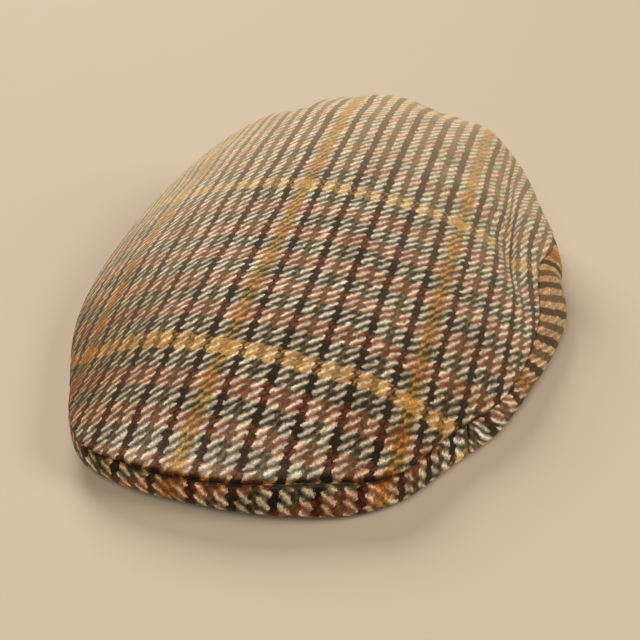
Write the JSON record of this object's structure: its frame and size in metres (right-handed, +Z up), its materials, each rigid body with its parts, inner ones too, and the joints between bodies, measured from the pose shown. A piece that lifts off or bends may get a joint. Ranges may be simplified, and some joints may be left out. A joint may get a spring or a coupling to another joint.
{
  "type": "flat cap",
  "caption": "Tweed flat cap: a low rounded top panel sewn to side panels that turn under at the rim and to a short covered peak, hollow and open underneath for a head.",
  "frame": {"origin": "middle of the cap's box, on the surface that its rim lies on", "axes": "+Z up out of the crown, -Y towards the peak, +X towards the wearer's left"},
  "size_m": [0.2154, 0.2892, 0.065],
  "materials": {
    "tweed": "matte twill-woven wool tweed in a check with a gold windowpane"
  },
  "bodies": {
    "root": {"crown_top": "tweed", "side_panel_left": "tweed", "side_panel_right": "tweed", "peak": "tweed"}
  },
  "joints": []
}
